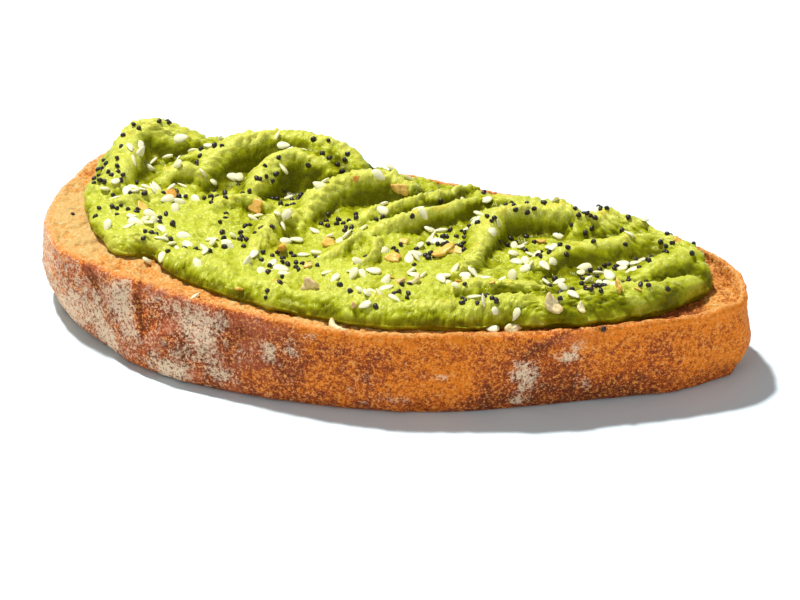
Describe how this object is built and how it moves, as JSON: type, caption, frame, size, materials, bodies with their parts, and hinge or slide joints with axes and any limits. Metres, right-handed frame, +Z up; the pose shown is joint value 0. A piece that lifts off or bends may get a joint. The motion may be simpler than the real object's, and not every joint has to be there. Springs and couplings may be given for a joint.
{
  "type": "avocado toast",
  "caption": "Thick slice of toasted crusty bread with a swirled layer of mashed avocado, sprinkled with seeds, dried onion and garlic.",
  "frame": {"origin": "under the middle of the object's box, on the surface that the slice lies on", "axes": "+X along the slice towards its narrow tip, +Y towards its straight bottom crust, +Z up"},
  "size_m": [0.1537, 0.073, 0.0282],
  "materials": {
    "toast": "matte",
    "avocado": "satin",
    "sesame": "satin",
    "poppy": "satin",
    "onion": "matte",
    "garlic": "matte"
  },
  "bodies": {
    "root": {"toast": "toast", "avocado": "avocado"}
  },
  "joints": []
}
